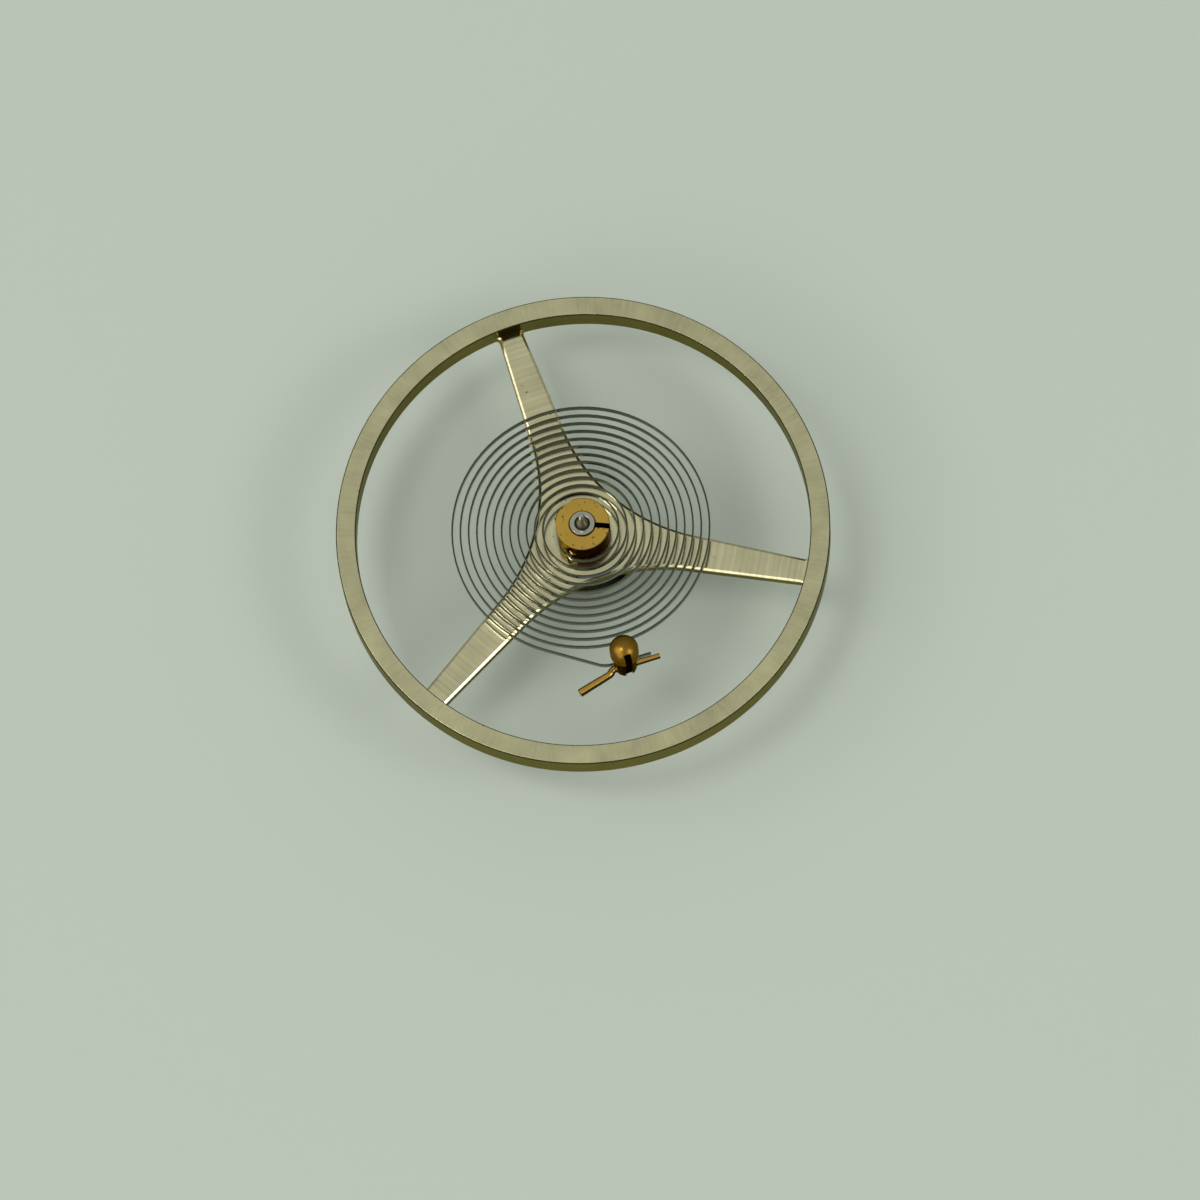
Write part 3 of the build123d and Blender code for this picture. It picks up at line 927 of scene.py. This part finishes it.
@dataclass
class Roller:
    """The double roller and its jewel: a table above a smaller safety roller with a crescent."""

    direction: float = 101.9
    bore: float = 0.23
    table: tuple[float, float, float] = (1.10, 1.00, 1.25)
    sleeve_radius: float = 0.42
    safety: tuple[float, float, float] = (0.58, 0.55, 0.77)
    bevel: float = 0.025
    crescent_radius: float = 0.22
    crescent_orbit: float = 0.69
    jewel_radius: float = 0.17
    jewel_flat: float = 0.09
    jewel_orbit: float = 0.85
    jewel_bottom: float = 0.71
    clearance: float = 0.005
    sides: int = 180
    jewel_sides: int = 64
    crescent_sides: int = 72
    overcut: float = 0.1
    rounding: Rounding = (0.006, 2, 35)
    jewel_rounding: Rounding = (0.012, 3, 35)

    def jewel_rod(self, name: str, gap: float, low: float, high: float) -> Piece:
        """Makes a rod of the jewel's section: round, with one flat that faces outwards.

        Args:
            name: The rod's name.
            gap: How much larger than the jewel it is, all round.
            low: Its lower end.
            high: Its upper end.

        Returns:
            The rod, at the jewel's place.
        """
        settings = {"vertices": self.jewel_sides, "radius": self.jewel_radius + gap, "depth": high - low}
        settings["location"] = (self.jewel_orbit, 0, (low + high) / 2)
        rod = primitive(bpy.ops.mesh.primitive_cylinder_add, name, **settings)
        flat = self.jewel_orbit + self.jewel_radius - self.jewel_flat + gap
        bpy.ops.mesh.bisect(
            plane_co=(flat, 0, 0), plane_no=(1, 0, 0), clear_outer=True, use_fill=True, threshold=SAME_PLACE
        )
        closed()
        rod.rotation_euler.z = radians(self.direction)
        bpy.ops.object.transform_apply(rotation=True)
        return rod

    def build(self) -> list[Piece]:
        """Turns the roller, cuts its jewel hole and crescent, and sets the jewel."""
        table_radius, table_low, table_high = self.table
        safety_radius, safety_low, safety_high = self.safety
        bevel = self.bevel
        section = [
            (self.bore + bevel, safety_low), (safety_radius - bevel, safety_low),
            (safety_radius, safety_low + bevel), (safety_radius, safety_high - bevel),
            (safety_radius - bevel, safety_high), (self.sleeve_radius, safety_high),
            (self.sleeve_radius, table_low), (table_radius - bevel, table_low),
            (table_radius, table_low + bevel), (table_radius, table_high - bevel),
            (table_radius - bevel, table_high), (self.bore + bevel, table_high),
            (self.bore, table_high - bevel), (self.bore, safety_low + bevel),
        ]
        roller = turned("roller", section, self.sides, ring=True)
        over = self.overcut
        work(roller, self.jewel_rod("hole", self.clearance, table_low - over, table_high + over), Cut.REMOVE)
        middle = spoke(self.direction, self.crescent_orbit)
        middle.z = (safety_low + safety_high) / 2
        length = safety_high - safety_low + 2 * over
        drill(roller, self.crescent_radius, length, middle, self.crescent_sides)
        soften(roller, self.rounding)
        dress(roller, (BURNISHED_STEEL,))
        hand_over(roller, Body.BALANCE, "double_roller")

        jewel = self.jewel_rod("impulse_pin", 0, self.jewel_bottom, table_high)
        soften(jewel, self.jewel_rounding)
        dress(jewel, (Ruby(),))
        hand_over(jewel, Body.BALANCE, "impulse_jewel")
        return [roller, jewel]


def tapered_rod(
    name: str, start: Vector, heading: float, runs: Sequence[tuple[Move, float]], radius: float
) -> Piece:
    """Draws a round rod out along a level route, move by move.

    Args:
        name: The rod's name.
        start: Its first end.
        heading: The direction in which it leaves that end, in degrees.
        runs: Each move, and the rod's radius after it.
        radius: The rod's radius at its first end.

    Returns:
        The rod, with its ends closed.
    """
    settings = {"vertices": PIN_SIDES, "radius": radius, "fill_type": "NGON", "location": start}
    turn = (QUARTER_TURN, 0, heading - QUARTER_TURN)
    rod = primitive(bpy.ops.mesh.primitive_circle_add, name, turn=turn, **settings)
    place = start
    for move, end_radius in runs:
        place, heading = draw_along(place, heading, move, BEND_STEPS)
        bpy.ops.transform.resize(value=(end_radius / radius,) * 3, center_override=place)
        radius = end_radius
    closed()
    return rod


@dataclass
class Collet:
    """The collet and its pin: a split brass ring that grips the staff and the spring's foot."""

    radius: float = 0.555
    bore: float = 0.255
    bottom: float = 1.97
    height: float = 0.53
    slot_width: float = 0.11
    slot_direction: float = -13.0
    bore_bevel: float = 0.025
    edge_bevel: float = 0.015
    flat_depth: float = 0.025
    flat_directions: tuple[float, float] = (121.0, 183.0)
    hole_radius: float = 0.10
    hole_offset: float = 0.40
    hole_height: float = 0.20
    hole_direction: float = -168.857
    pin_offset: float = 0.37
    pin_radius: float = 0.065
    pin_taper: float = 0.012
    pin_overhang: float = 0.03
    sides: int = 160
    rounding: Rounding = (0.005, 2, 40)
    pin_rounding: Rounding = (0.012, 3, 40)
    lip_slant: float = 0.3

    def cut(self, piece: Piece, direction: float, middle: float, length: float, width: float) -> None:
        """Cuts the collet from top to bottom with a block.

        Args:
            piece: The collet.
            direction: The side that the block stands on, in degrees.
            middle: How far out its middle is.
            length: Its size outwards.
            width: Its size across.
        """
        place = spoke(direction, middle)
        place.z = self.bottom + self.height / 2
        mill(piece, (length, width, self.height * 2), place, direction)

    def finish_of(self, face: Face) -> Metal:
        """Chooses a face's finish: faced on top, turned on the bevels, and painted shade on the walls."""
        slant = abs(face.normal.z)
        if slant > LEVEL:
            return FACED_BRASS
        # The collet's walls get painted shade; its bevels keep the bright brass.
        return TURNED_BRASS if slant > self.lip_slant else SHADE_AND_TARNISH_BRASS

    def build(self) -> list[Piece]:
        """Turns the collet, cuts its slot, flats and hole, and drives its pin."""
        low, high = self.bottom, self.bottom + self.height
        edge, lip = self.edge_bevel, self.bore_bevel
        section = [
            (self.bore + edge, low), (self.radius - edge, low), (self.radius, low + edge),
            (self.radius, high - edge), (self.radius - edge, high), (self.bore + lip, high),
            (self.bore, high - lip), (self.bore, low + edge),
        ]
        collet = turned("collet_ring", section, self.sides, ring=True)
        self.cut(collet, self.slot_direction, (self.radius + self.bore) / 2, self.radius, self.slot_width)
        wide = self.radius * 2
        for direction in self.flat_directions:
            self.cut(collet, direction, wide - self.flat_depth, wide, wide)
        level = low + self.hole_height
        middle = spoke(self.hole_direction, self.hole_offset)
        middle.z = level
        turn = (QUARTER_TURN, 0, self.hole_direction)
        drill(collet, self.hole_radius, self.radius * THROUGH, middle, HOLE_SIDES, turn)
        soften(collet, self.rounding)
        dress(collet, (FACED_BRASS, TURNED_BRASS, SHADE_AND_TARNISH_BRASS), self.finish_of)
        hand_over(collet, Body.BALANCE, "collet")

        half = sqrt(self.radius**2 - self.pin_offset**2) + self.pin_overhang
        heading = self.hole_direction + QUARTER_TURN
        start = spoke(self.hole_direction, self.pin_offset) - spoke(heading, half) + Vector((0, 0, level))
        runs = [((0, half * 2), self.pin_radius - self.pin_taper)]
        pin = tapered_rod("collet_wedge", start, heading, runs, self.pin_radius)
        soften(pin, self.pin_rounding)
        dress(pin, (TURNED_BRASS,))
        hand_over(pin, Body.BALANCE, "collet_pin")
        return [collet, pin]


@dataclass
class Hairspring:
    """The flat hairspring: one ribbon with an elbow at its foot, twelve coils and a terminal curve.

    Attributes:
        firm_moves: How many moves at the foot and at the outer end should keep their shape; not used.
    """

    thickness: float = 0.035
    height: float = 0.12
    level: float = 2.17
    pitch: float = 0.167
    turns: int = 12
    inner_radius: float = 0.677
    start_direction: float = 246.0
    elbow_radius: float = 0.20
    foot_offset: float = 0.4575
    collet_radius: float = 0.555
    foot_overhang: float = 0.08
    straight: float = 1.10
    bend_radius: float = 0.55
    bend_turn: float = 33.6
    tail: float = 0.54
    corner_share: float = 0.2
    corner_facets: int = 2
    arc_steps: int = 20
    firm_moves: tuple[int, int] = (2, 3)

    def moves(self) -> tuple[Vector, float, list[Move]]:
        """Works out the ribbon's route.

        Returns:
            Its first point, its first heading in degrees, and its moves in turn.
        """
        step = self.pitch / 4
        first_radius = self.inner_radius + step / 2
        start = self.start_direction
        middle = (spoke(start + QUARTER_TURN) - spoke(start)) * (step / 2)
        elbow = middle + spoke(start, first_radius - self.elbow_radius)
        lean = degrees(acos((self.foot_offset - self.elbow_radius) / elbow.length))
        foot = degrees(atan2(elbow.y, elbow.x)) - lean
        reach = sqrt(self.collet_radius**2 - self.foot_offset**2) + self.foot_overhang
        heading = foot + QUARTER_TURN
        first = spoke(foot, self.foot_offset) - spoke(heading, reach)
        elbow_start = elbow + spoke(foot, self.elbow_radius)
        moves = [(0.0, (elbow_start - first).length), (self.elbow_radius, (start - foot) % FULL_TURN)]
        moves += [(first_radius + step * number, QUARTER_TURN) for number in range(4 * self.turns)]
        moves += [(0.0, self.straight), (self.bend_radius, self.bend_turn)]
        end_heading = start + QUARTER_TURN + self.bend_turn
        outwards = spoke(end_heading - QUARTER_TURN)
        end = self.walk(first, heading, moves)[-1][0]
        to_stud = -(end - outwards * end.dot(outwards)).dot(spoke(end_heading))
        moves.append((0.0, to_stud + self.tail))
        return first, heading, moves

    def walk(self, place: Vector, heading: float, moves: Sequence[Move]) -> list[tuple[Vector, float]]:
        """Follows the route in short steps.

        Args:
            place: Its first point.
            heading: Its first heading, in degrees.
            moves: Its moves in turn.

        Returns:
            Each point and how far along the ribbon it is.
        """
        points = [(place, 0.0)]
        for bend, amount in moves:
            short = amount / self.arc_steps
            for _ in range(self.arc_steps):
                place, heading = moved(place, heading, (bend, short))
                points.append((place, points[-1][1] + (bend * radians(short) if bend else short)))
        return points

    def build(self) -> list[Piece]:
        """Draws the ribbon out along its route from the collet to the stud."""
        first, heading, moves = self.moves()
        points = self.walk(first, heading, moves)
        place = Vector((first.x, first.y, self.level))
        turn = (QUARTER_TURN, 0, heading - QUARTER_TURN)
        stretch = (self.thickness, self.height, 1)
        add = bpy.ops.mesh.primitive_plane_add
        ribbon = primitive(add, "hairspring_ribbon", stretch, turn, size=1, location=place)
        corner = self.thickness * self.corner_share
        bpy.ops.mesh.bevel(offset=corner, segments=self.corner_facets, affect="VERTICES")
        bpy.ops.mesh.select_all(action="SELECT")
        for move in moves:
            place, heading = draw_along(place, heading, move, self.arc_steps)
        closed()
        finishes = (SPRING_SIDE, SPRING_EDGE)
        dress(ribbon, finishes, lambda face: SPRING_EDGE if abs(face.normal.z) > STEEP else SPRING_SIDE)
        settle(ribbon)
        self.hang(ribbon, points)
        return [ribbon]

    def hang(self, ribbon: Piece, points: Sequence[tuple[Vector, float]]) -> None:
        """Bakes the ribbon's place into its mesh, finds each of its points' nearest place on the route
        without using it, and hides the CAD hairspring.

        Args:
            ribbon: The ribbon.
            points: The places on its route, and how far along it each is.
        """
        tree = KDTree(len(points))
        for number, (place, _) in enumerate(points):
            tree.insert(place, number)
        tree.balance()
        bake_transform(ribbon)
        for point in ribbon.data.vertices:
            number = tree.find((point.co.x / MM, point.co.y / MM, 0))[1]
        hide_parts("hairspring")


@dataclass
class Stud:
    """The stud and its pin: a domed brass post whose bent pin wedges the spring's outer end.

    Attributes:
        pin_step: How far the pin goes along and aside between its two bends.
        painted_shade_slant: The upright share of a normal, under which its face of the pin gets painted
            shade.
    """

    axis: tuple[float, float] = (0.4945, -2.9235)
    heading: float = 9.6
    level: float = 2.17
    bottom: float = 1.95
    foot_radius: float = 0.23
    body_radius: float = 0.24
    body_top: float = 2.65
    head_radius: float = 0.29
    head: tuple[float, float] = (2.75, 3.02)
    dome_rise: float = 0.14
    dome_steps: int = 16
    bevel: float = 0.02
    hole_radius: float = 0.11
    hole_offset: float = 0.05
    groove_width: float = 0.14
    groove_depth: float = 0.065
    groove_reach: float = 0.5
    groove_turn: float = 4.0
    tool_lengths: tuple[float, float] = (2.0, 4.0)
    pin_offset: float = 0.083
    pin_mouth: float = 0.072
    pin_thin: float = 0.055
    pin_bend: float = 0.075
    pin_thick: float = 0.085
    pin_bend_radius: float = 0.105
    pin_reach: float = 0.70
    pin_mouth_reach: float = 0.30
    pin_step: tuple[float, float] = (0.06, 0.08)
    pin_thick_length: float = 0.73
    pin_thick_turn: float = 15.5
    painted_shade_slant: float = 0.84
    sides: int = 128
    rounding: Rounding = (0.008, 2, 30)
    pin_rounding: Rounding = (0.01, 2, 40)

    def place(self) -> Matrix:
        """Gives the stud's place, in millimetres."""
        return Matrix.Translation((*self.axis, 0)) @ Matrix.Rotation(radians(self.heading), 4, "Z")

    def post(self) -> Piece:
        """Turns the post, drills and grooves it."""
        head_low, head_high = self.head
        dome_radius = (self.head_radius**2 + self.dome_rise**2) / (self.dome_rise * 2)
        section = [
            (self.foot_radius - self.bevel, self.bottom),
            (self.foot_radius, self.bottom + self.bevel),
            (self.body_radius, self.body_top),
            (self.head_radius, head_low),
            (self.head_radius, head_high),
        ]
        edge = asin(self.head_radius / dome_radius)
        for number in range(self.dome_steps - 1, 0, -1):
            lean = edge * number / self.dome_steps
            height = head_high + self.dome_rise - dome_radius * (1 - cos(lean))
            section.append((dome_radius * sin(lean), height))
        post = turned("stud_post", section, self.sides)
        hole_length, groove_length = self.tool_lengths
        middle = Vector((0, -self.hole_offset, self.level))
        drill(post, self.hole_radius, hole_length, middle, HOLE_SIDES, (0, QUARTER_TURN, 0))
        deep = self.body_radius - self.groove_depth + self.groove_reach / 2
        middle = spoke(self.groove_turn - QUARTER_TURN, deep)
        middle.z = self.level
        mill(post, (self.groove_width, self.groove_reach, groove_length), middle, self.groove_turn)
        soften(post, self.rounding)
        return post

    def pin(self) -> Piece:
        """Draws the pin from its thin end, through the post and round its two bends."""
        step_x, step_y = self.pin_step
        first_turn = degrees(atan2(step_y, step_x))
        second_turn = self.pin_thick_turn - first_turn
        first_lap = self.pin_bend_radius * tan(radians(first_turn / 2))
        second_lap = self.pin_bend_radius * tan(radians(-second_turn / 2))
        runs = [
            ((0, self.pin_reach + self.pin_mouth_reach - first_lap), self.pin_mouth),
            ((self.pin_bend_radius, first_turn), self.pin_mouth),
            ((0, hypot(step_x, step_y) - first_lap - second_lap), self.pin_bend),
            ((-self.pin_bend_radius, second_turn), self.pin_bend),
            ((0, self.pin_thick_length - second_lap), self.pin_thick),
        ]
        start = Vector((self.pin_reach, -self.pin_offset, self.level))
        pin = tapered_rod("stud_wedge", start, HALF_TURN, runs, self.pin_thin)
        soften(pin, self.pin_rounding)
        return pin

    def build(self) -> list[Piece]:
        """Makes the post and its pin, and gives each face its finish, with painted shade on the body, in the
        cuts and under the pin.
        """
        post, pin = self.post(), self.pin()
        filed = replace(FILED_BRASS, axis=self.axis)
        drawn = replace(DRAWN_BRASS, heading=self.heading)

        def finish_of_post(face: Face) -> Metal:
            """Chooses a face's finish: painted shade in the cuts and on the body, filed on the head."""
            slant = abs(face.normal.z)
            if slant < STEEP and face.center.xy.length < self.foot_radius - self.bevel / 4:
                # The groove and the hole get painted shade.
                return GROOVE_SHADE_BRASS
            # The body's walls get painted shade.
            return SHADE_AND_TARNISH_BRASS if slant < LEVEL and face.center.z < self.head[0] else filed

        dress(post, (filed, SHADE_AND_TARNISH_BRASS, GROOVE_SHADE_BRASS), finish_of_post)
        # The pin's underside gets painted shade, and its upper side the bright drawn brass.
        dress(pin, (drawn, SHADE_AND_TARNISH_BRASS), lambda f: SHADE_AND_TARNISH_BRASS if f.normal.z < self.painted_shade_slant else drawn)
        hand_over(post, Body.STUD, "stud", self.place())
        hand_over(pin, Body.STUD, "stud_pin", self.place())
        return [post, pin]


@dataclass(frozen=True)
class Lamp:
    """A soft lamp that points at the wheel. Its size and distance are in metres, its power in watts.

    Attributes:
        side: The side that it stands on and its height above the horizon, in degrees.
    """

    name: str
    side: tuple[float, float]
    size: tuple[float, float]
    power: float
    colour: str = "fffaf2"
    distance: float = 0.3

    def hang(self) -> None:
        """Hangs the lamp at its place."""
        data = bpy.data.lights.new(self.name, "AREA")
        data.shape = "RECTANGLE"
        data.size, data.size_y = self.size
        data.energy = self.power
        data.color = linear(self.colour)[:3]
        lamp = bpy.data.objects.new(self.name, data)
        bpy.context.scene.collection.objects.link(lamp)
        azimuth, elevation = self.side
        away = spoke(azimuth, cos(radians(elevation))) + Vector((0, 0, sin(radians(elevation))))
        lamp.location = away * self.distance
        lamp.rotation_euler = away.to_track_quat("Z", "Y").to_euler()


@dataclass
class Studio:
    """The camera, the lamps and the pale floor.

    Attributes:
        aim: The place that stands at aim_pixel in the picture, in millimetres.
        clip: The nearest and the farthest that the camera sees, in metres.
        glow_heights: Between which heights the soft glow grows, as shares of straight up.
    """

    aim: tuple[float, float, float] = (0.0, 0.0, 2.25)
    elevation: float = 70.58
    roll: float = 7.6
    distance: float = 160.0
    pixels_per_mm: float = 49.5
    aim_pixel: tuple[float, float] = (582.75, 527.8)
    picture: float = 1200.0
    sensor: float = 36.0
    clip: tuple[float, float] = (0.01, 10.0)
    lamps: tuple[Lamp, ...] = (
        Lamp("left_lamp", (201, 47), (0.42, 0.17), 0.32),
        Lamp("right_lamp", (-28, 48), (0.11, 0.11), 0.15),
        Lamp("high_lamp", (185, 69.5), (0.085, 0.085), 0.15, "fffcf6"),
    )
    glow_colour: str = "f6faf4"
    glow_heights: tuple[float, float] = (0.0, 0.8)
    glow_levels: tuple[float, float] = (0.25, 0.62)
    floor_colour: str = "bcc6bd"
    floor_roughness: float = 0.9
    floor_size: float = 3.0

    def camera(self) -> None:
        """Sets the camera as far off, as high and as turned as the photograph's."""
        data = bpy.data.cameras.new("camera")
        camera = bpy.data.objects.new("camera", data)
        bpy.context.scene.collection.objects.link(camera)
        bpy.context.scene.camera = camera
        data.sensor_width = self.sensor
        data.lens = self.sensor * self.distance * self.pixels_per_mm / self.picture
        data.clip_start, data.clip_end = self.clip
        lift = radians(self.elevation)
        back = Vector((0, -cos(lift), sin(lift)))
        base = back.to_track_quat("Z", "Y") @ Matrix.Rotation(radians(-self.roll), 3, "Z").to_quaternion()
        across = (self.aim_pixel[0] - self.picture / 2) / self.picture * self.sensor
        down = (self.aim_pixel[1] - self.picture / 2) / self.picture * self.sensor
        seen = Vector((across, -down, -data.lens)).normalized()
        turn = Vector((0, 0, -1)).rotation_difference(seen)
        camera.rotation_mode = "QUATERNION"
        camera.rotation_quaternion = base @ turn.inverted()
        camera.location = (Vector(self.aim) + back * self.distance) * MM

    def lights(self) -> None:
        """Lights the wheel from both front sides and from high on the left, in a soft glow."""
        for lamp in self.lamps:
            lamp.hang()
        world = bpy.data.worlds.new("studio")
        bpy.context.scene.world = world
        world.use_nodes = True
        tree = world.node_tree
        tree.nodes.clear()
        direction = add_node(tree, "TexCoord").outputs["Generated"]
        feeds = {"Value": add_node(tree, "SeparateXYZ", {0: direction}).outputs[2]}
        feeds["From Min"], feeds["From Max"] = self.glow_heights
        feeds["To Min"], feeds["To Max"] = self.glow_levels
        level = add_node(tree, "MapRange", feeds, clamp=True).outputs[0]
        feeds = {"Color": linear(self.glow_colour), "Strength": level}
        glow = add_node(tree, "Background", feeds).outputs[0]
        add_node(tree, "OutputWorld", {"Surface": glow})

    def floor(self) -> None:
        """Lays the pale, quite matt floor that the lower pivot stands on."""
        bpy.ops.object.select_all(action="DESELECT")
        bpy.ops.mesh.primitive_plane_add(size=self.floor_size)
        floor = bpy.context.object
        floor.name = "floor"
        made = blank("pale_paper")
        feeds = {"Base Color": linear(self.floor_colour), "Roughness": self.floor_roughness}
        shader = add_node(made.node_tree, "BsdfPrincipled", feeds).outputs[0]
        add_node(made.node_tree, "OutputMaterial", {"Surface": shader})
        floor.data.materials.append(made)

    def build(self) -> None:
        """Sets up the whole studio."""
        bpy.context.scene.view_settings.view_transform = "Standard"
        self.camera()
        self.lights()
        self.floor()


def main() -> None:
    """Builds the studio and every piece, and writes how large the model came out."""
    logging.basicConfig(level=logging.INFO, format="%(name)s: %(message)s")
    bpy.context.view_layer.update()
    Studio().build()
    for assembly in (Wheel(), Staff(), Roller(), Collet(), Hairspring(), Stud()):
        for piece in assembly.build():
            LOG.info("%s: %d faces", piece.name, len(piece.data.polygons))


if __name__ == "__main__":
    main()
